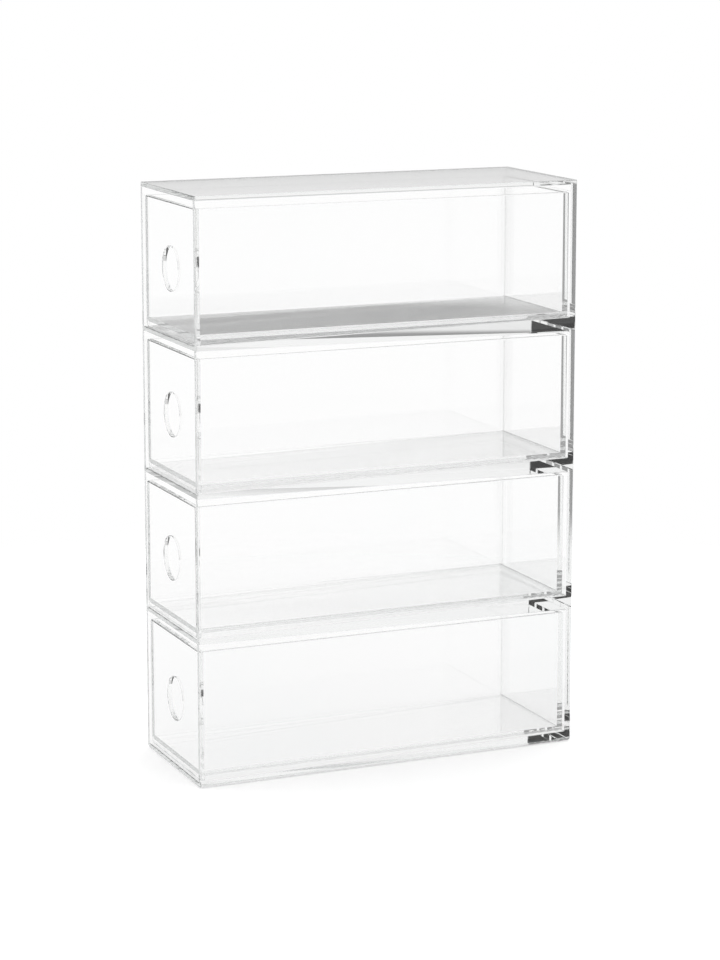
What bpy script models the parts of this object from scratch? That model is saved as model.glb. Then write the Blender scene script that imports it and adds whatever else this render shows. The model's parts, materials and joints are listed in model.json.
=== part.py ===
"""Clear acrylic tower of four drawers: a tall, narrow case of bonded walls, open at the front.

Metres, +Z up. The origin is the middle of the footprint, on the surface that the case stands on.
The drawers open towards -Y, and +X is the right-hand long side for someone who faces them.
Each compartment closes in a little towards the back, so every shelf is a wedge, and each drawer
seats on the lower edge of its front and on the back end of its tray.
"""
import math

import bmesh
import bpy
from mathutils import Vector

# Case
CASE_WIDTH = 0.067
CASE_DEPTH = 0.175
DRAWER_COUNT = 4
COMPARTMENT_HEIGHT = 0.060
TOP_THICKNESS = 0.002
SIDE_THICKNESS = 0.0025
BACK_THICKNESS = 0.002
BASE_THICKNESS = 0.002
SHELF_THICKNESS = 0.002
# how much each shelf face, and the top of the base, has swelled at the back of the case
BACK_SWELL = 0.002
BASE_EDGE_RADIUS = 0.0015
CASE_ARRIS = 0.0003
# a bonded joint, or two faces that rest on each other
JOINT_GAP = 0.0003

# Drawer
FRONT_THICKNESS = 0.002
FRONT_CORNER_RADIUS = 0.001
FRONT_ARRIS = 0.0003
SIDE_CLEARANCE = 0.0005
BACK_CLEARANCE = 0.001
FLOOR_THICKNESS = 0.002
FLOOR_EDGE_RADIUS = 0.0016
WALL_THICKNESS = 0.002
# from the ceiling of the compartment down to the rim, at the front
RIM_DROP = 0.0034
RIM_RADIUS = 0.0004
HOLE_DIAMETER = 0.0188
HOLE_CHAMFER = 0.0003
# a closed front stands this far behind the front edges of the case
FRONT_RECESS = 0.0009
# the drawer that isn't pushed in as far as the others, counted from the top
FORWARD_DRAWER = 3
FORWARD_STEP = 0.0009

# Modelling
CUT_OVERRUN = 0.0005
SAME_PLACE = 0.00002
HOLE_SIDES = 48
ROUND_SEGMENTS = 4
CORNER_SEGMENTS = 3
RIM_SEGMENTS = 2
SMOOTH_ANGLE = math.radians(30)
ACRYLIC_IOR = 1.49
# colour and roughness
CASE_LOOK = ((0.93, 0.95, 0.96, 1.0), 0.03)
DRAWER_LOOK = ((0.95, 0.96, 0.97, 1.0), 0.03)

# Derived sizes
PITCH = COMPARTMENT_HEIGHT + SHELF_THICKNESS
CASE_HEIGHT = BASE_THICKNESS + DRAWER_COUNT * PITCH - SHELF_THICKNESS + TOP_THICKNESS
INNER_WIDTH = CASE_WIDTH - 2 * SIDE_THICKNESS
FILLER_WIDTH = INNER_WIDTH - 2 * JOINT_GAP
FRONT_Y = -CASE_DEPTH / 2
SHELF_DEPTH = CASE_DEPTH - BACK_THICKNESS - JOINT_GAP
TRAY_WIDTH = INNER_WIDTH - 2 * SIDE_CLEARANCE
FRONT_HEIGHT = COMPARTMENT_HEIGHT - JOINT_GAP - RIM_DROP
TRAY_DEPTH = (CASE_DEPTH - FRONT_RECESS - FRONT_THICKNESS - JOINT_GAP
              - BACK_CLEARANCE - BACK_THICKNESS)
TRAY_UNDERSIDE = BACK_SWELL + JOINT_GAP
WALL_FOOT = TRAY_UNDERSIDE + FLOOR_THICKNESS + JOINT_GAP
WALL_HEIGHT = COMPARTMENT_HEIGHT - RIM_DROP - WALL_FOOT


def clear_scene():
    """Removes the objects that a new Blender file starts with."""
    for thing in list(bpy.data.objects):
        bpy.data.objects.remove(thing, do_unlink=True)


def acrylic(name, color, roughness):
    """Clear polished acrylic."""
    material = bpy.data.materials.new(name)
    material.use_nodes = True
    shader = material.node_tree.nodes["Principled BSDF"]
    shader.inputs["Base Color"].default_value = color
    shader.inputs["Metallic"].default_value = 0.0
    shader.inputs["Roughness"].default_value = roughness
    shader.inputs["IOR"].default_value = ACRYLIC_IOR
    shader.inputs["Transmission Weight"].default_value = 1.0
    return material


def add_part(name, bm, place, look, parent=None):
    """Turns a finished bmesh into a named object with its own material."""
    bmesh.ops.recalc_face_normals(bm, faces=bm.faces)
    mesh = bpy.data.meshes.new(name)
    bm.to_mesh(mesh)
    bm.free()
    mesh.shade_smooth()
    mesh.set_sharp_from_angle(angle=SMOOTH_ANGLE)
    mesh.materials.append(acrylic(name + "_acrylic", *look))
    part = bpy.data.objects.new(name, mesh)
    part.location = place
    part.parent = parent
    bpy.context.scene.collection.objects.link(part)
    return part


def extrude_across(profile, width):
    """A solid whose (y, z) profile runs across the case, centred on x = 0."""
    bm = bmesh.new()
    face = bm.faces.new([bm.verts.new((-width / 2, y, z)) for y, z in profile])
    grown = bmesh.ops.extrude_face_region(bm, geom=[face])["geom"]
    corners = [item for item in grown if isinstance(item, bmesh.types.BMVert)]
    bmesh.ops.translate(bm, verts=corners, vec=(width, 0, 0))
    return bm


def plate(width, depth, height, below=0, above=0):
    """A plate from y = 0 to depth and z = 0 to height. At its back end the underside is
    raised by below and the upper side by above."""
    return extrude_across([(0, 0), (depth, below), (depth, height + above), (0, height)], width)


def round_edges(bm, wanted, radius, segments):
    """Rounds the edges whose two ends both pass the test."""
    edges = [edge for edge in bm.edges if all(wanted(vert.co) for vert in edge.verts)]
    bmesh.ops.bevel(bm, geom=edges, offset=radius, segments=segments, profile=0.5, affect="EDGES")


def round_lower_sides(bm, width, radius):
    """Rounds the two long lower edges of a plate, which lie at z = 0."""
    for edge_x in (-width / 2, width / 2):
        round_edges(bm, lambda co, x=edge_x: near(co.z, 0) and near(co.x, x),
                    radius, ROUND_SEGMENTS)


def near(value, target):
    """True where two coordinates are the same but for rounding."""
    return math.isclose(value, target, abs_tol=SAME_PLACE)


def hole_cutter(name, radius, thickness, chamfer, place, parent):
    """A turned cutter on the Y axis that leaves a round hole with both rims chamfered."""
    mouth = radius + chamfer + CUT_OVERRUN
    profile = [
        (0, -CUT_OVERRUN),
        (mouth, -CUT_OVERRUN),
        (radius, chamfer),
        (radius, thickness - chamfer),
        (mouth, thickness + CUT_OVERRUN),
        (0, thickness + CUT_OVERRUN),
    ]
    bm = bmesh.new()
    points = [bm.verts.new((r, y, 0)) for r, y in profile]
    spine = [bm.edges.new(pair) for pair in zip(points, points[1:])]
    bmesh.ops.spin(bm, geom=points + spine, cent=Vector(), axis=Vector((0, 1, 0)),
                   dvec=Vector(), angle=math.tau, steps=HOLE_SIDES)
    bmesh.ops.remove_doubles(bm, verts=bm.verts, dist=SAME_PLACE)
    bmesh.ops.recalc_face_normals(bm, faces=bm.faces)
    mesh = bpy.data.meshes.new(name)
    bm.to_mesh(mesh)
    bm.free()
    cutter = bpy.data.objects.new(name, mesh)
    cutter.location = place
    cutter.parent = parent
    cutter.hide_render = True
    cutter.display_type = "WIRE"
    bpy.context.scene.collection.objects.link(cutter)
    return cutter


# Case walls


def base_panel():
    """The base runs under the side panels. Its long lower edges are rounded."""
    bm = plate(CASE_WIDTH, CASE_DEPTH, BASE_THICKNESS, above=BACK_SWELL)
    round_lower_sides(bm, CASE_WIDTH, BASE_EDGE_RADIUS)
    add_part("base_panel", bm, (0, FRONT_Y, 0), CASE_LOOK)


def top_panel():
    """The top lies over the side and back panels, with its upper edges eased."""
    bm = plate(CASE_WIDTH, CASE_DEPTH, TOP_THICKNESS)
    round_edges(bm, lambda co: near(co.z, TOP_THICKNESS), CASE_ARRIS, 1)
    add_part("top_panel", bm, (0, FRONT_Y, CASE_HEIGHT - TOP_THICKNESS), CASE_LOOK)


def side_panel(name, side):
    """A side stands on the rising base. Its two outer upright edges are eased."""
    foot = BASE_THICKNESS + JOINT_GAP
    height = CASE_HEIGHT - TOP_THICKNESS - JOINT_GAP - foot
    bm = extrude_across([(0, 0), (CASE_DEPTH, BACK_SWELL), (CASE_DEPTH, height), (0, height)],
                        SIDE_THICKNESS)
    outer_x = side * SIDE_THICKNESS / 2
    for end_y in (0, CASE_DEPTH):
        round_edges(bm, lambda co, y=end_y: near(co.x, outer_x) and near(co.y, y), CASE_ARRIS, 1)
    middle_x = side * (CASE_WIDTH - SIDE_THICKNESS) / 2
    add_part(name, bm, (middle_x, FRONT_Y, foot), CASE_LOOK)


def back_panel():
    """The back closes the case between the side panels."""
    foot = BASE_THICKNESS + BACK_SWELL + JOINT_GAP
    height = CASE_HEIGHT - TOP_THICKNESS - JOINT_GAP - foot
    bm = plate(FILLER_WIDTH, BACK_THICKNESS, height)
    add_part("back_panel", bm, (0, FRONT_Y + CASE_DEPTH - BACK_THICKNESS, foot), CASE_LOOK)


def shelf(number):
    """A shelf is a wedge that swells above and below towards the back."""
    level = CASE_HEIGHT - TOP_THICKNESS - number * PITCH
    bm = plate(FILLER_WIDTH, SHELF_DEPTH, SHELF_THICKNESS, below=-BACK_SWELL, above=BACK_SWELL)
    add_part(f"shelf_{number}", bm, (0, FRONT_Y, level), CASE_LOOK)


def case():
    """All the bonded walls of the case."""
    base_panel()
    top_panel()
    side_panel("left_side_panel", -1)
    side_panel("right_side_panel", 1)
    back_panel()
    for number in range(1, DRAWER_COUNT):
        shelf(number)


# Drawer walls


def drawer_front(name, slide):
    """The front plate, as high as the rim, with rounded corners, eased outer edges and a
    round finger hole."""
    bm = plate(TRAY_WIDTH, FRONT_THICKNESS, FRONT_HEIGHT)
    corners = [edge for edge in bm.edges if near(edge.verts[0].co.x, edge.verts[1].co.x)
               and near(edge.verts[0].co.z, edge.verts[1].co.z)]
    bmesh.ops.bevel(bm, geom=corners, offset=FRONT_CORNER_RADIUS, segments=CORNER_SEGMENTS,
                    profile=0.5, affect="EDGES")
    round_edges(bm, lambda co: near(co.y, 0), FRONT_ARRIS, 1)
    front = add_part(name, bm, (0, 0, JOINT_GAP), DRAWER_LOOK, slide)
    centre = (0, 0, JOINT_GAP + FRONT_HEIGHT / 2)
    cutter = hole_cutter(name + "_hole_cutter", HOLE_DIAMETER / 2, FRONT_THICKNESS, HOLE_CHAMFER,
                         centre, slide)
    cut = front.modifiers.new("finger_hole", "BOOLEAN")
    cut.operation = "DIFFERENCE"
    cut.object = cutter


def drawer_floor(name, slide):
    """The floor carries the walls. Its long lower edges are rounded."""
    bm = plate(TRAY_WIDTH, TRAY_DEPTH, FLOOR_THICKNESS)
    round_lower_sides(bm, TRAY_WIDTH, FLOOR_EDGE_RADIUS)
    add_part(name, bm, (0, FRONT_THICKNESS + JOINT_GAP, TRAY_UNDERSIDE), DRAWER_LOOK, slide)


def drawer_wall(name, slide, width, depth, x, y):
    """An upright wall of the tray, with the long edges of its rim rounded."""
    bm = plate(width, depth, WALL_HEIGHT)
    round_edges(bm, lambda co: near(co.z, WALL_HEIGHT), RIM_RADIUS, RIM_SEGMENTS)
    add_part(name, bm, (x, y, WALL_FOOT), DRAWER_LOOK, slide)


def drawer(number):
    """One drawer on its own slide, which lies at the middle of the front's lower edge."""
    name = f"drawer_{number}"
    recess = FRONT_RECESS - (FORWARD_STEP if number == FORWARD_DRAWER else 0)
    floor_level = CASE_HEIGHT - TOP_THICKNESS - number * PITCH + SHELF_THICKNESS
    slide = bpy.data.objects.new(name + "_slide", None)
    slide.location = (0, FRONT_Y + recess, floor_level)
    bpy.context.scene.collection.objects.link(slide)

    drawer_front(name + "_front", slide)
    drawer_floor(name + "_floor", slide)
    tray_y = FRONT_THICKNESS + JOINT_GAP
    wall_x = (TRAY_WIDTH - WALL_THICKNESS) / 2
    drawer_wall(name + "_left_wall", slide, WALL_THICKNESS, TRAY_DEPTH, -wall_x, tray_y)
    drawer_wall(name + "_right_wall", slide, WALL_THICKNESS, TRAY_DEPTH, wall_x, tray_y)
    back_width = TRAY_WIDTH - 2 * (WALL_THICKNESS + JOINT_GAP)
    drawer_wall(name + "_back_wall", slide, back_width, WALL_THICKNESS, 0,
                tray_y + TRAY_DEPTH - WALL_THICKNESS)


clear_scene()
case()
for count in range(1, DRAWER_COUNT + 1):
    drawer(count)
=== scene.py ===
"""Looks of the clear acrylic drawer tower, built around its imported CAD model.

The case and each drawer are remodelled as one clear solid each, because light has to pass through
bonded walls without the small gaps that the CAD solids keep between them.
"""
import json
import math

import bmesh
import bpy
from bpy.props import FloatProperty, FloatVectorProperty, IntProperty, PointerProperty
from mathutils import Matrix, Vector

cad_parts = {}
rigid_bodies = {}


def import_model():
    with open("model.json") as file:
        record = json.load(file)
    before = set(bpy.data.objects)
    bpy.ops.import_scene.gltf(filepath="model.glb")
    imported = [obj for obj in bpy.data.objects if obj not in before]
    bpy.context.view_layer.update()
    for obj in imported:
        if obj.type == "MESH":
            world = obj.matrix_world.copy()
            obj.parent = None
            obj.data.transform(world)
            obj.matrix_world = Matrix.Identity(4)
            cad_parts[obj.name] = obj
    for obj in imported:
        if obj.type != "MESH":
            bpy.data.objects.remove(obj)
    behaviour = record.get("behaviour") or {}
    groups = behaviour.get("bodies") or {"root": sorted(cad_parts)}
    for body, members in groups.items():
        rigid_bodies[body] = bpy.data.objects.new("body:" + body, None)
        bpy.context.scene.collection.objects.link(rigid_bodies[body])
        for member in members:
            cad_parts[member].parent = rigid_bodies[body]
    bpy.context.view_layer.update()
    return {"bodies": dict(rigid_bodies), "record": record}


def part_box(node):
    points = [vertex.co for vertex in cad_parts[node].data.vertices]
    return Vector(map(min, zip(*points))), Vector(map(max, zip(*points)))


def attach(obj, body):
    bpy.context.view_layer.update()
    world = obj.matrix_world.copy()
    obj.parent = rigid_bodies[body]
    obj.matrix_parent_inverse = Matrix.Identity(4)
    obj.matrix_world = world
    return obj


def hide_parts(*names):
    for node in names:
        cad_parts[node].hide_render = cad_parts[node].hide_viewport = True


bl_info = {
    "name": "Acrylic drawer tower",
    "version": (1, 0, 0),
    "blender": (4, 5, 0),
    "location": "View3D > Sidebar > Drawers",
    "description": "Clear case with pull-out drawers, their acrylic and a white studio",
    "category": "Add Mesh",
}

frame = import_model()

CASE_NODES = frame["record"]["behaviour"]["bodies"]["case"]
DRAWER_BODIES = sorted(body for body in frame["bodies"] if body.startswith("drawer_"))
DRAWER_WALLS = ("front", "floor", "left_wall", "right_wall", "back_wall")

# the axes, as places in a coordinate
X, Y, Z = range(3)

# how far a cutter runs past the face that it opens
OVERRUN = 0.004
# two places closer than this are the same place
SAME_PLACE = 0.00002
# vertices closer than this are one vertex
SAME_VERTEX = 0.000001
# faces that meet at more than this, in radians, meet at a corner
CORNER_ANGLE = 1.2
# faces that meet at less than this, in degrees, are shaded as one curve
SMOOTH_ANGLE = 21

# waves per metre of each pattern in the acrylic
CLOUD_WAVES = 9.0
SCRATCH_WAVES = (26.0, 21.0)
WEAR_WAVES = 30.0
WIPE_WAVES = 38.0
RIPPLE_WAVES = 16.0
# the level of its noise at which a pattern starts to show, and at which it shows in full
CLOUD_LEVELS = (0.45, 0.75)
WEAR_LEVELS = (0.5, 0.72)
WIPE_LEVELS = (0.58, 0.8)
# how a pattern is drawn out along the axes
SCRATCH_STRETCH = (1, 14, 14)
WIPE_STRETCH = (1, 1, 0.25)
RIPPLE_STRETCH = (1, 0.6, 1)
# the directions of the two families of scratches, and how wide a scratch is in its noise
SCRATCH_TURNS = ((0.2, 0.5, 0.9), (1.1, 0.3, 2.2))
SCRATCH_WIDTH = 0.004
# the level that a noise swings about
NOISE_MIDDLE = 0.5
# what a whole scratch and a whole wiping mark add to the roughness
SCRATCH_ROUGHNESS = 0.10
WIPE_ROUGHNESS = 0.008

# a ray that follows a wall from front to back turns back at its faces about 90 times
MOST_BOUNCES = 160

# heights over which the studio changes, in degrees above the horizon
HORIZON = (-0.5, 0.5)
LIT_WALL_RISE = (5.8, 7.4)
BAND_START = (7.95, 8.15)
BAND_END = (9.0, 11.0)
WALL_TOP = (35, 60)
ROOM_TOP = (40, 60)
# where the dark side of the room starts, in degrees from the X axis towards -Y: above the
# horizon, below it, and below it for light that is guided inside one wall
ROOM_EDGE = (3, 6)
ROOM_FLOOR_EDGE = (28.5, 31.5)
GUIDED_EDGE = (12, 14)
# faces crossed until the room is seen through several walls
WALLS_CROSSED = (4.5, 7.5)
# times turned back until light counts as guided
TIMES_TURNED = (3, 6)

WHITE = (1, 1, 1, 1)

# the floor's paint and its grain, how far the disc reaches and where it has faded, in radii
FLOOR_PAINT = 0.94
FLOOR_GRAIN = 0.01
GRAIN_WAVES = 60.0
FLOOR_REACH = 2
FLOOR_FADED = 1.4
# the floor lies this far under the object's flat base
FLOOR_DROP = 0.0002

# the photograph's camera, found from the object's corners
CAMERA_PLACE = (1.1138, -0.4842, 0.3686)
CAMERA_DIP = 10.154
CAMERA_TURN = 66.496
PHOTO_HEIGHT = 960
FOCAL_PIXELS = 2840.78
SENSOR_WIDTH = 36
CAMERA_SHIFT = -0.075
CAMERA_REACH = (0.01, 50)


# Sizes and colours that a user would change


class CaseSizes(bpy.types.PropertyGroup):
    """Sizes of the clear case."""

    shelf_front: FloatProperty(
        name="Shelf at the front",
        description="Thickness of a shelf at its front edge",
        default=0.002,
        min=0.001,
        unit="LENGTH",
    )
    foot_radius: FloatProperty(
        name="Foot radius",
        description="Rounding of the two long lower edges",
        default=0.0015,
        unit="LENGTH",
    )
    arris: FloatProperty(
        name="Eased edges",
        description="Chamfer on the outer edges",
        default=0.0004,
        unit="LENGTH",
    )
    mouth_arris: FloatProperty(
        name="Eased mouths",
        description="Chamfer around the four openings",
        default=0.0002,
        unit="LENGTH",
    )
    inner_radius: FloatProperty(
        name="Inner radius",
        description="Fillet along the inner corners of a compartment",
        default=0.0004,
        unit="LENGTH",
    )


class DrawerSizes(bpy.types.PropertyGroup):
    """Sizes of one drawer."""

    wall: FloatProperty(
        name="Wall",
        description="Thickness of the tray's upright walls at the rim",
        default=0.00195,
        unit="LENGTH",
    )
    corner_radius: FloatProperty(
        name="Front corners",
        description="Radius of the four corners of the front",
        default=0.001,
        unit="LENGTH",
    )
    front_radius: FloatProperty(
        name="Front edges",
        description="Rounding around the face of the front",
        default=0.0006,
        unit="LENGTH",
    )
    arris: FloatProperty(
        name="Eased edges",
        description="Chamfer around the back of the front",
        default=0.0003,
        unit="LENGTH",
    )
    draft: FloatProperty(
        name="Draft",
        description="How much thicker the tray's walls are at the floor than at the rim",
        default=0.00003,
        unit="LENGTH",
    )
    keel_radius: FloatProperty(
        name="Lower edges",
        description="Rounding of the tray's long lower edges",
        default=0.0016,
        unit="LENGTH",
    )
    rim_radius: FloatProperty(
        name="Rim",
        description="Rounding of the tray's rim",
        default=0.0004,
        unit="LENGTH",
    )
    inner_radius: FloatProperty(
        name="Inner radius",
        description="Fillet around the tray's floor",
        default=0.0002,
        unit="LENGTH",
    )
    hole_diameter: FloatProperty(
        name="Finger hole",
        description="Diameter of the finger hole",
        default=0.0188,
        unit="LENGTH",
    )
    hole_chamfer: FloatProperty(
        name="Hole chamfer",
        description="Chamfer of the finger hole's two rims",
        default=0.0003,
        unit="LENGTH",
    )
    hole_sides: IntProperty(
        name="Hole sides",
        description="Number of facets around the finger hole",
        default=96,
        min=24,
        max=256,
    )


class AcrylicLook(bpy.types.PropertyGroup):
    """Colours and surface of the clear acrylic."""

    tint: FloatVectorProperty(
        name="Tint",
        description="Colour of the clearest places",
        subtype="COLOR",
        size=3,
        default=(1.0, 1.0, 1.0),
        min=0,
        max=1,
    )
    haze: FloatVectorProperty(
        name="Haze",
        description="Colour where the moulding is slightly cloudy",
        subtype="COLOR",
        size=3,
        default=(0.995, 0.997, 0.997),
        min=0,
        max=1,
    )
    polish: FloatProperty(
        name="Polish",
        description="Roughness of the clean surface",
        default=0.0,
        min=0,
        max=1,
        subtype="FACTOR",
    )
    ior: FloatProperty(
        name="Refraction",
        description="Refractive index of acrylic",
        default=1.49,
        min=1,
        max=2,
    )
    ripple: FloatProperty(
        name="Ripple",
        description="Height of the long ripples that moulding leaves in the drawers",
        default=0.0000012,
        unit="LENGTH",
        precision=7,
    )
    sheet_ripple: FloatProperty(
        name="Sheet ripple",
        description="The same in the flatter sheets of the case",
        default=0.0000005,
        unit="LENGTH",
        precision=7,
    )
    depth_color: FloatVectorProperty(
        name="Depth colour",
        description="What is left of white light after a long way through the acrylic",
        subtype="COLOR",
        size=3,
        default=(0.40, 0.43, 0.42),
        min=0,
        max=1,
    )
    depth: FloatProperty(
        name="Depth",
        description="How strongly a long way through the acrylic darkens light, per metre",
        default=2.4,
        min=0,
    )


class StudioLook(bpy.types.PropertyGroup):
    """Brightness of the white studio as the acrylic sees it."""

    room: FloatProperty(
        name="Room",
        description="Brightness of the dark side of the room, in front of the drawers",
        default=0.03,
        min=0,
        max=1,
        subtype="FACTOR",
    )
    far_room: FloatProperty(
        name="Room through walls",
        description="The same where it is seen through several walls",
        default=0.55,
        min=0,
        max=1,
        subtype="FACTOR",
    )
    room_floor: FloatProperty(
        name="Room floor",
        description="Brightness below the horizon on that side, past the pale floor",
        default=0.32,
        min=0,
        max=1,
        subtype="FACTOR",
    )
    low_wall: FloatProperty(
        name="Low wall",
        description="Brightness just above the horizon",
        default=0.68,
        min=0,
        max=1,
        subtype="FACTOR",
    )
    lit_wall: FloatProperty(
        name="Lit wall",
        description="Brightness of the upper edge of the lit wall",
        default=0.9,
        min=0,
        max=1,
        subtype="FACTOR",
    )
    dark_band: FloatProperty(
        name="Dark band",
        description="Brightness of the gap above the lit wall",
        default=0.32,
        min=0,
        max=1,
        subtype="FACTOR",
    )
    high_wall: FloatProperty(
        name="High wall",
        description="Brightness of the wall well above the gap",
        default=1.0,
        min=0,
        max=1,
        subtype="FACTOR",
    )
    floor_lift: FloatProperty(
        name="Floor lift",
        description="White that the floor adds to its own, so that only deep shadow shows on it",
        default=0.34,
        min=0,
        max=1,
    )
    floor_white: FloatProperty(
        name="Floor through acrylic",
        description="Brightness that the floor tends to where it is seen through the acrylic",
        default=0.93,
        min=0,
        max=1,
        subtype="FACTOR",
    )
    floor_share: FloatProperty(
        name="Share of that",
        description="How far it tends to that brightness, out of its shadow",
        default=0.8,
        min=0,
        max=1,
        subtype="FACTOR",
    )
    floor_radius: FloatProperty(
        name="Floor",
        description="Radius within which the floor is solid",
        default=0.32,
        unit="LENGTH",
    )


# Mesh helpers


def activate(piece):
    """Makes one object the only selected and the active one."""
    bpy.ops.object.select_all(action="DESELECT")
    piece.select_set(True)
    bpy.context.view_layer.objects.active = piece


def add_block(name, low, high):
    """A box between two corners, its object at the origin."""
    low, high = Vector(low), Vector(high)
    bpy.ops.object.select_all(action="DESELECT")
    bpy.ops.mesh.primitive_cube_add(size=1, location=(low + high) / 2, scale=high - low)
    block = bpy.context.object
    block.name = name
    block.data.name = name
    bpy.ops.object.transform_apply(location=True, rotation=True, scale=True)
    return block


def open_edit(piece, kind, wanted):
    """Opens a piece in edit mode with only the wanted faces, edges or vertices selected."""
    activate(piece)
    bpy.ops.object.mode_set(mode="EDIT")
    bpy.ops.mesh.select_mode(type=kind)
    bpy.ops.mesh.select_all(action="DESELECT")
    bm = bmesh.from_edit_mesh(piece.data)
    items = {"VERT": bm.verts, "EDGE": bm.edges, "FACE": bm.faces}[kind]
    chosen = [item for item in items if wanted(item)]
    if not chosen:
        raise RuntimeError(f"{piece.name}: nothing there to select")
    for item in chosen:
        item.select_set(True)
    bmesh.update_edit_mesh(piece.data)


def close_edit():
    """Goes back to object mode."""
    bpy.ops.object.mode_set(mode="OBJECT")


def near(value, target):
    """True where two coordinates are the same but for rounding."""
    return math.isclose(value, target, abs_tol=SAME_PLACE)


def on_plane(item, axis, place):
    """True where both ends of an edge, or all corners of a face, lie on an axis plane."""
    return all(near(vert.co[axis], place) for vert in item.verts)


def along(edge, axis):
    """True where an edge runs along an axis."""
    start, end = (vert.co for vert in edge.verts)
    return all(near(start[other], end[other]) for other in (X, Y, Z) if other != axis)


def bevel_edges(piece, wanted, radius, segments):
    """Rounds or chamfers the wanted edges."""
    open_edit(piece, "EDGE", wanted)
    bpy.ops.mesh.bevel(offset=radius, segments=segments, profile=0.5, affect="EDGES")
    close_edit()


def shift(offset):
    """Moves what is selected in edit mode."""
    bpy.ops.transform.translate(value=offset)


def apply_modifier(piece, kind, **settings):
    """Adds a modifier with these settings and applies it."""
    activate(piece)
    modifier = piece.modifiers.new(kind.lower(), kind)
    for key, value in settings.items():
        setattr(modifier, key, value)
    bpy.ops.object.modifier_apply(modifier=modifier.name)


def combine(piece, other, operation):
    """Joins, or cuts with, another solid, which is then removed."""
    apply_modifier(piece, "BOOLEAN", operation=operation, object=other, solver="EXACT")
    bpy.data.objects.remove(other, do_unlink=True)


def finish_surface(piece, material):
    """Merges doubles, smooths rounded edges only, and gives the piece its material."""
    activate(piece)
    bpy.ops.object.mode_set(mode="EDIT")
    bpy.ops.mesh.select_all(action="SELECT")
    bpy.ops.mesh.remove_doubles(threshold=SAME_VERTEX)
    bpy.ops.mesh.normals_make_consistent(inside=False)
    close_edit()
    bpy.ops.object.shade_smooth_by_angle(angle=math.radians(SMOOTH_ANGLE))
    apply_modifier(piece, "WEIGHTED_NORMAL", mode="FACE_AREA", keep_sharp=True)
    piece.data.materials.clear()
    piece.data.materials.append(material)


# Materials


class Socket:
    """A node socket that takes part in Python sums, each of which adds a Math node."""

    def __init__(self, tree, socket):
        self.tree = tree
        self.socket = socket

    def math(self, operation, *others):
        return add_node(self.tree, "ShaderNodeMath", {"operation": operation}, [self, *others])

    def __add__(self, other):
        return self.math("ADD", other)

    def __sub__(self, other):
        return self.math("SUBTRACT", other)

    def __mul__(self, other):
        return self.math("MULTIPLY", other)

    def __neg__(self):
        return self * -1

    def __radd__(self, other):
        return self + other

    def __rmul__(self, other):
        return self * other

    def __rsub__(self, other):
        return -self + other

    def minimum(self, other):
        return self.math("MINIMUM", other)

    def maximum(self, other):
        return self.math("MAXIMUM", other)

    def rise(self, start, end):
        """0 below start, 1 above end, smooth between them."""
        settings = {"interpolation_type": "SMOOTHSTEP"}
        return add_node(self.tree, "ShaderNodeMapRange", settings, {
            "Value": self, "From Min": start, "From Max": end})


def add_node(tree, kind, settings=None, values=None, output=0):
    """Adds a node, sets it up, then fills or links its sockets. Returns one output."""
    node = tree.nodes.new(kind)
    for key, value in (settings or {}).items():
        setattr(node, key, value)
    pairs = enumerate(values) if isinstance(values, list) else (values or {}).items()
    for key, value in pairs:
        socket = node.inputs[key]
        if isinstance(value, Socket):
            tree.links.new(value.socket, socket)
        else:
            socket.default_value = value
    return Socket(tree, node.outputs[output])


def mix_colors(tree, factor, first, second):
    """Blends two colours."""
    settings = {"data_type": "RGBA"}
    # a Mix node's colour sockets: 0 is the factor, 6 and 7 are the colours, output 2 the result
    return add_node(tree, "ShaderNodeMix", settings, {0: factor, 6: first, 7: second}, output=2)


def noise(tree, place, scale, detail=2.0, stretch=(1, 1, 1)):
    """Soft noise on the piece's own coordinates, in waves per metre."""
    mapped = add_node(tree, "ShaderNodeMapping", {}, {"Vector": place, "Scale": stretch})
    return add_node(tree, "ShaderNodeTexNoise", {}, {
        "Vector": mapped, "Scale": scale, "Detail": detail, "Roughness": 0.5})


def hairlines(tree, place, turn, scale):
    """Very fine, long scratches that run at an angle across the surface."""
    mapped = add_node(tree, "ShaderNodeMapping", {}, {
        "Vector": place, "Rotation": turn, "Scale": SCRATCH_STRETCH})
    waves = add_node(tree, "ShaderNodeTexNoise", {}, {
        "Vector": mapped, "Scale": scale, "Detail": 1.0})
    return (waves - NOISE_MIDDLE).math("ABSOLUTE").rise(SCRATCH_WIDTH, 0)


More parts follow.
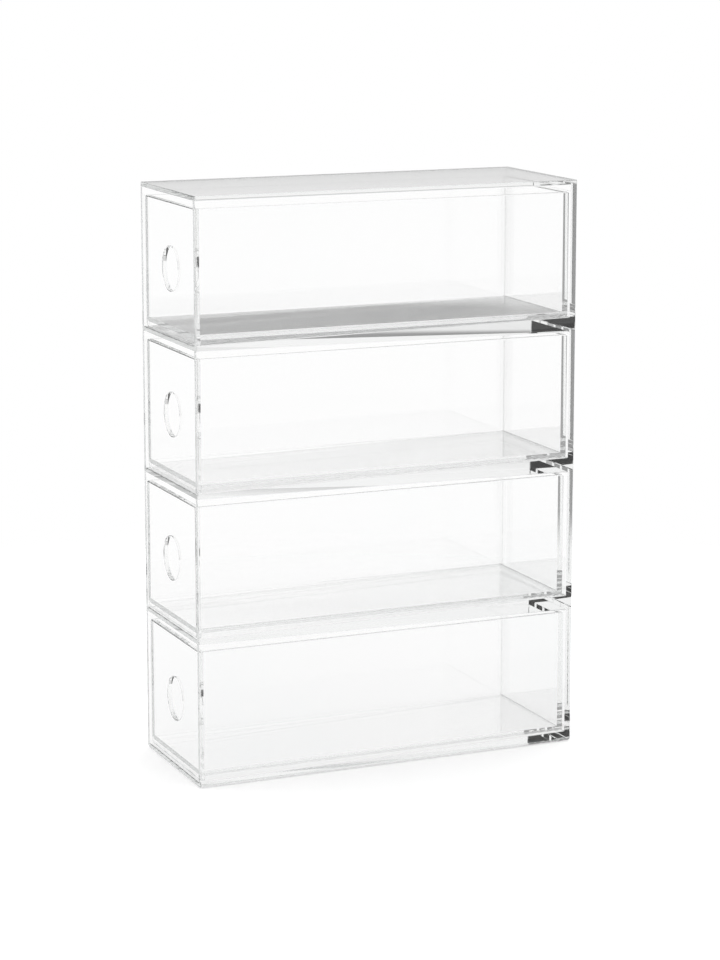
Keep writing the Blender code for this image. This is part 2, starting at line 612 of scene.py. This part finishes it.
def acrylic(name, look, ripple):
    """Clear moulded acrylic: long shallow ripples, faint cloudiness, wiping marks and hairlines."""
    material = bpy.data.materials.new(name)
    material.use_nodes = True
    tree = material.node_tree
    shader = tree.nodes["Principled BSDF"]
    place = add_node(tree, "ShaderNodeTexCoord", output="Object")

    cloud = noise(tree, place, CLOUD_WAVES, detail=3.0).rise(*CLOUD_LEVELS)
    tint = mix_colors(tree, cloud, (*look.tint, 1), (*look.haze, 1))
    first, second = (hairlines(tree, place, turn, waves)
                     for turn, waves in zip(SCRATCH_TURNS, SCRATCH_WAVES))
    worn = noise(tree, place, WEAR_WAVES).rise(*WEAR_LEVELS)
    marks = first.maximum(second) * worn
    wiped = noise(tree, place, WIPE_WAVES, stretch=WIPE_STRETCH).rise(*WIPE_LEVELS)
    roughness = marks * SCRATCH_ROUGHNESS + wiped * WIPE_ROUGHNESS + look.polish

    ripples = noise(tree, place, RIPPLE_WAVES, detail=1.0, stretch=RIPPLE_STRETCH)
    bump = add_node(tree, "ShaderNodeBump", {}, {
        "Strength": 1.0, "Distance": ripple, "Height": ripples})
    tree.links.new(tint.socket, shader.inputs["Base Color"])
    tree.links.new(roughness.socket, shader.inputs["Roughness"])
    tree.links.new(bump.socket, shader.inputs["Normal"])
    shader.inputs["IOR"].default_value = look.ior
    shader.inputs["Transmission Weight"].default_value = 1.0
    fading = add_node(tree, "ShaderNodeVolumeAbsorption", {}, {
        "Color": (*look.depth_color, 1), "Density": look.depth})
    tree.links.new(fading.socket, tree.nodes["Material Output"].inputs["Volume"])
    return material


# Pieces


def compartment_cutter(name, low, high, floor_rise, ceiling_drop, sizes):
    """A compartment's space, lower at the back, which runs out past the front of the case."""
    cutter = add_block(name, low, high)
    open_edit(cutter, "VERT", lambda vert: near(vert.co.y, high.y) and near(vert.co.z, low.z))
    shift((0, 0, floor_rise))
    close_edit()
    if ceiling_drop > 0:
        open_edit(cutter, "VERT", lambda vert: near(vert.co.y, high.y) and near(vert.co.z, high.z))
        shift((0, 0, -ceiling_drop))
        close_edit()
    bevel_edges(cutter, lambda edge: not on_plane(edge, Y, low.y), sizes.inner_radius,
                segments=3)
    open_edit(cutter, "FACE", lambda face: on_plane(face, Y, low.y))
    bpy.ops.mesh.extrude_region_move(TRANSFORM_OT_translate={"value": (0, -OVERRUN, 0)})
    close_edit()
    return cutter


class TOWER_OT_case(bpy.types.Operator):
    """Models the clear case with its compartments"""

    bl_idname = "tower.case"
    bl_label = "Case"

    def execute(self, context):
        sizes = context.scene.tower_case
        look = context.scene.tower_acrylic
        base_low, base_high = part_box("base_panel")
        top_low, top_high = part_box("top_panel")
        side_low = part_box("right_side_panel")[0]
        back_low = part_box("back_panel")[0]
        shelves = [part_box(f"shelf_{number}") for number in (3, 2, 1)]

        case = add_block("case_shell", base_low, top_high)
        bevel_edges(case, lambda edge: along(edge, Y) and on_plane(edge, Z, base_low.z),
                    sizes.foot_radius, segments=8)
        bevel_edges(case, lambda edge: edge.calc_face_angle(0) > CORNER_ANGLE,
                    sizes.arris, segments=2)

        swell = (shelves[0][1].z - shelves[0][0].z - sizes.shelf_front) / 2
        base_front = base_high.z - swell
        floors = [base_front] + [high.z - swell for low, high in shelves]
        ceilings = [low.z + swell for low, high in shelves] + [top_low.z]
        for number, (floor, ceiling) in enumerate(zip(floors, ceilings)):
            is_top = number == len(shelves)
            low = Vector((-side_low.x, base_low.y, floor))
            high = Vector((side_low.x, back_low.y, ceiling))
            cutter = compartment_cutter(f"compartment_{number}", low, high, swell,
                                        0 if is_top else swell, sizes)
            combine(case, cutter, "DIFFERENCE")
        bevel_edges(case, lambda edge: on_plane(edge, Y, base_low.y)
                    and all(abs(vert.co.x) < side_low.x + SAME_PLACE for vert in edge.verts)
                    and all(base_front - SAME_PLACE < vert.co.z < top_low.z + SAME_PLACE
                            for vert in edge.verts),
                    sizes.mouth_arris, segments=1)

        finish_surface(case, acrylic("case_acrylic", look, look.sheet_ripple))
        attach(case, "case")
        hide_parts(*CASE_NODES)
        return {"FINISHED"}


def drawer_front(low, high, sizes):
    """The flat front with its rounded corners and eased edges."""
    front = add_block("drawer_front_plate", low, high)
    bevel_edges(front, lambda edge: along(edge, Y), sizes.corner_radius, segments=6)
    bevel_edges(front, lambda edge: on_plane(edge, Y, low.y), sizes.front_radius, segments=5)
    bevel_edges(front, lambda edge: on_plane(edge, Y, high.y) and not on_plane(edge, Z, high.z),
                sizes.arris, segments=1)
    return front


def drawer_tray(low, high, floor_top, plate_back, sizes):
    """The tray: a block whose top is inset and pushed down to the floor."""
    tray = add_block("drawer_tray_block", low, high)
    bevel_edges(tray, lambda edge: along(edge, Y) and on_plane(edge, Z, low.z),
                sizes.keel_radius, segments=8)
    open_edit(tray, "FACE", lambda face: on_plane(face, Z, high.z))
    bpy.ops.mesh.inset(thickness=sizes.wall, depth=0)
    close_edit()
    # the tray has no front wall of its own, so its space runs into the front plate
    inner_y = plate_back - sizes.arris / 2
    open_edit(tray, "VERT", lambda vert: near(vert.co.y, low.y + sizes.wall))
    shift((0, inner_y - low.y - sizes.wall, 0))
    close_edit()
    open_edit(tray, "FACE", lambda face: on_plane(face, Z, high.z)
              and all(vert.co.y > inner_y - SAME_PLACE for vert in face.verts)
              and all(vert.co.y < high.y - SAME_PLACE for vert in face.verts)
              and all(abs(vert.co.x) < high.x - SAME_PLACE for vert in face.verts))
    bpy.ops.mesh.extrude_region_move(TRANSFORM_OT_translate={"value": (0, 0, floor_top - high.z)})
    width, length = high.x - low.x - 2 * sizes.wall, high.y - sizes.wall - inner_y
    bpy.ops.transform.resize(
        value=(1 - 2 * sizes.draft / width, 1 - sizes.draft / length, 1),
        center_override=((low.x + high.x) / 2, inner_y, floor_top))
    close_edit()
    bevel_edges(tray, lambda edge: on_plane(edge, Z, floor_top), sizes.inner_radius,
                segments=4)
    bevel_edges(tray, lambda edge: on_plane(edge, Z, high.z)
                and edge.calc_face_angle(0) > CORNER_ANGLE,
                sizes.rim_radius, segments=3)
    return tray


def finger_hole(centre, thickness, sizes):
    """A turned cutter for the finger hole, flared at both ends."""
    radius = sizes.hole_diameter / 2
    flare = sizes.hole_chamfer + OVERRUN
    bpy.ops.object.select_all(action="DESELECT")
    bpy.ops.mesh.primitive_cylinder_add(
        vertices=sizes.hole_sides, radius=radius, depth=thickness - 2 * sizes.hole_chamfer,
        location=centre, rotation=(math.pi / 2, 0, 0))
    cutter = bpy.context.object
    cutter.name = "finger_hole_cutter"
    bpy.ops.object.transform_apply(location=True, rotation=True, scale=True)
    for side in (-1, 1):
        end = centre.y + side * (thickness / 2 - sizes.hole_chamfer)
        open_edit(cutter, "FACE", lambda face, y=end: on_plane(face, Y, y))
        bpy.ops.mesh.extrude_region_move(TRANSFORM_OT_translate={"value": (0, side * flare, 0)})
        grown = (radius + flare) / radius
        bpy.ops.transform.resize(value=(grown, 1, grown), center_override=centre)
        close_edit()
    return cutter


def model_drawer(body, sizes):
    """One drawer as a single clear solid: front plate, tray and finger hole."""
    front_low, front_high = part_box(body + "_front")
    floor_low, floor_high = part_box(body + "_floor")
    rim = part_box(body + "_left_wall")[1].z

    drawer = drawer_front(front_low, front_high, sizes)
    tray = drawer_tray(
        Vector((floor_low.x, front_high.y - 2 * sizes.arris, floor_low.z)),
        Vector((floor_high.x, floor_high.y, rim)),
        floor_high.z, front_high.y, sizes)
    combine(drawer, tray, "UNION")
    centre = (front_low + front_high) / 2
    combine(drawer, finger_hole(centre, front_high.y - front_low.y, sizes), "DIFFERENCE")
    return drawer


class TOWER_OT_drawers(bpy.types.Operator):
    """Models the top drawer and copies it for the others"""

    bl_idname = "tower.drawers"
    bl_label = "Drawers"

    def execute(self, context):
        first = DRAWER_BODIES[0]
        pattern = model_drawer(first, context.scene.tower_drawer)
        look = context.scene.tower_acrylic
        finish_surface(pattern, acrylic("drawer_acrylic", look, look.ripple))
        pattern.name = first + "_tray"
        pattern.data.name = pattern.name
        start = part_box(first + "_front")[0]
        for body in DRAWER_BODIES[1:]:
            activate(pattern)
            bpy.ops.object.duplicate()
            drawer = bpy.context.object
            drawer.name = body + "_tray"
            drawer.data.name = drawer.name
            drawer.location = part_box(body + "_front")[0] - start
            bpy.ops.object.transform_apply(location=True, rotation=True, scale=True)
        # only now, because a copy would keep what is noted on the first drawer
        for body in DRAWER_BODIES:
            drawer = bpy.data.objects[body + "_tray"]
            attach(drawer, body)
            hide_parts(*[f"{body}_{wall}" for wall in DRAWER_WALLS])
        return {"FINISHED"}


# Stage


def light_studio(look):
    """A white studio whose sweep lies behind the object. Whatever is seen straight on or
    straight through the acrylic is white. Only reflections show the rest of the room."""
    world = bpy.data.worlds.new("white_studio")
    bpy.context.scene.world = world
    world.use_nodes = True
    tree = world.node_tree
    background = tree.nodes["Background"]
    direction = add_node(tree, "ShaderNodeTexCoord", output="Generated")
    axes = tree.nodes.new("ShaderNodeSeparateXYZ")
    tree.links.new(direction.socket, axes.inputs[0])
    x, y, z = (Socket(tree, output) for output in axes.outputs)

    # towards -Y, counted from the X axis, in degrees
    turn = (-y).math("ARCTAN2", x.math("ABSOLUTE")) * math.degrees(1)
    height = z.math("ARCSINE") * math.degrees(1)
    wall = look.low_wall + height.rise(*LIT_WALL_RISE) * (look.lit_wall - look.low_wall)
    wall = wall - height.rise(*BAND_START) * (look.lit_wall - look.dark_band)
    wall = wall + height.rise(*BAND_END) * (look.high_wall - look.dark_band)
    wall = wall + height.rise(*WALL_TOP) * (1 - look.high_wall)
    above = height.rise(*HORIZON)
    white_side = above * wall + (1 - above)

    light_path = tree.nodes.new("ShaderNodeLightPath")
    path = {output.name: Socket(tree, output) for output in light_path.outputs}
    crossed = path["Transmission Depth"].rise(*WALLS_CROSSED)
    room = look.room + crossed * (look.far_room - look.room)
    room = room + height.rise(*ROOM_TOP) * (1 - room)
    room_side = above * room + (1 - above) * look.room_floor
    # turned back and forth inside one wall
    guided = path["Glossy Depth"].rise(*TIMES_TURNED)
    low_edge = guided * turn.rise(*GUIDED_EDGE) + (1 - guided) * turn.rise(*ROOM_FLOOR_EDGE)
    in_room = above * turn.rise(*ROOM_EDGE) + (1 - above) * low_edge
    around = in_room * room_side + (1 - in_room) * white_side
    reflected = path["Glossy Depth"].minimum(1)
    # the light that falls on the floor is that of the white studio
    reflected = reflected * (1 - path["Diffuse Depth"].minimum(1))
    level = reflected * around + (1 - reflected)
    tree.links.new(level.socket, background.inputs["Color"])
    background.inputs["Strength"].default_value = 1.0


def lay_floor(look):
    """A plain pale floor that melts into the white of the studio and keeps the object's shadow."""
    bpy.ops.object.select_all(action="DESELECT")
    bpy.ops.mesh.primitive_circle_add(vertices=96, radius=look.floor_radius * FLOOR_REACH,
                                      fill_type="NGON", location=(0, 0, -FLOOR_DROP))
    floor = bpy.context.object
    floor.name = "pale_floor"
    bpy.ops.object.transform_apply(location=True, rotation=True, scale=True)
    material = bpy.data.materials.new("pale_floor")
    material.use_nodes = True
    tree = material.node_tree
    tree.nodes.remove(tree.nodes["Principled BSDF"])
    place = add_node(tree, "ShaderNodeTexCoord", output="Object")
    distance = add_node(tree, "ShaderNodeVectorMath", {"operation": "LENGTH"}, [place],
                        output="Value")
    grain = noise(tree, place, GRAIN_WAVES) * FLOOR_GRAIN + FLOOR_PAINT
    shade = add_node(tree, "ShaderNodeCombineColor", {}, [grain, grain, grain])
    paint = add_node(tree, "ShaderNodeBsdfDiffuse", {}, {"Color": shade})
    light_path = tree.nodes.new("ShaderNodeLightPath")
    path = {output.name: Socket(tree, output) for output in light_path.outputs}
    through = path["Is Glossy Ray"].maximum(path["Is Transmission Ray"])
    glow = path["Is Camera Ray"].maximum(through) * look.floor_lift
    lift = add_node(tree, "ShaderNodeEmission", {}, {"Color": WHITE, "Strength": glow})
    lifted = add_node(tree, "ShaderNodeAddShader", {}, [paint, lift])
    white = add_node(tree, "ShaderNodeEmission", {}, {
        "Color": WHITE, "Strength": look.floor_white})
    solid = add_node(tree, "ShaderNodeMixShader", {}, [through * look.floor_share, lifted, white])
    clear = add_node(tree, "ShaderNodeBsdfTransparent", {}, {})
    away = distance.rise(look.floor_radius, look.floor_radius * FLOOR_FADED)
    surface = add_node(tree, "ShaderNodeMixShader", {}, [away, solid, clear])
    tree.links.new(surface.socket, tree.nodes["Material Output"].inputs["Surface"])
    floor.data.materials.append(material)


def place_camera():
    """The photograph's view: long right-hand side, with a narrow view of the fronts."""
    bpy.ops.object.select_all(action="DESELECT")
    bpy.ops.object.camera_add(
        location=CAMERA_PLACE,
        rotation=(math.radians(90 - CAMERA_DIP), 0, math.radians(CAMERA_TURN)))
    camera = bpy.context.object
    camera.name = "photo_camera"
    camera.data.sensor_fit = "AUTO"
    camera.data.sensor_width = SENSOR_WIDTH
    camera.data.lens = FOCAL_PIXELS * SENSOR_WIDTH / PHOTO_HEIGHT
    camera.data.shift_y = CAMERA_SHIFT
    camera.data.clip_start, camera.data.clip_end = CAMERA_REACH
    bpy.context.scene.camera = camera


class TOWER_OT_stage(bpy.types.Operator):
    """Sets the camera, the floor and the white studio"""

    bl_idname = "tower.stage"
    bl_label = "Stage"

    def execute(self, context):
        light_studio(context.scene.tower_studio)
        lay_floor(context.scene.tower_studio)
        place_camera()
        scene = context.scene
        scene.view_settings.view_transform = "Standard"
        # light crosses many clear walls and turns back inside them
        scene.cycles.max_bounces = MOST_BOUNCES
        scene.cycles.transmission_bounces = MOST_BOUNCES
        scene.cycles.glossy_bounces = MOST_BOUNCES
        scene.cycles.transparent_max_bounces = MOST_BOUNCES
        return {"FINISHED"}


class TOWER_PT_panel(bpy.types.Panel):
    """Lists the steps of the tower"""

    bl_idname = "TOWER_PT_panel"
    bl_label = "Acrylic drawer tower"
    bl_space_type = "VIEW_3D"
    bl_region_type = "UI"
    bl_category = "Drawers"

    def draw(self, context):
        layout = self.layout
        for step in STEPS:
            layout.operator(step.bl_idname)
        for group in SETTINGS:
            box = layout.box()
            for name in SETTINGS[group].__annotations__:
                box.prop(getattr(context.scene, group), name)


STEPS = (TOWER_OT_stage, TOWER_OT_case, TOWER_OT_drawers)
SETTINGS = {
    "tower_case": CaseSizes,
    "tower_drawer": DrawerSizes,
    "tower_acrylic": AcrylicLook,
    "tower_studio": StudioLook,
}


def register():
    """Registers the classes and hangs their settings on the scene."""
    for group in SETTINGS.values():
        bpy.utils.register_class(group)
    for step in (*STEPS, TOWER_PT_panel):
        bpy.utils.register_class(step)
    for name, group in SETTINGS.items():
        setattr(bpy.types.Scene, name, PointerProperty(type=group))


def unregister():
    """Takes back what register added."""
    for name in SETTINGS:
        delattr(bpy.types.Scene, name)
    for step in (*STEPS, TOWER_PT_panel):
        bpy.utils.unregister_class(step)
    for group in SETTINGS.values():
        bpy.utils.unregister_class(group)


def main():
    """Builds the whole scene."""
    register()
    bpy.ops.tower.stage()
    bpy.ops.tower.case()
    bpy.ops.tower.drawers()


if __name__ == "__main__":
    main()
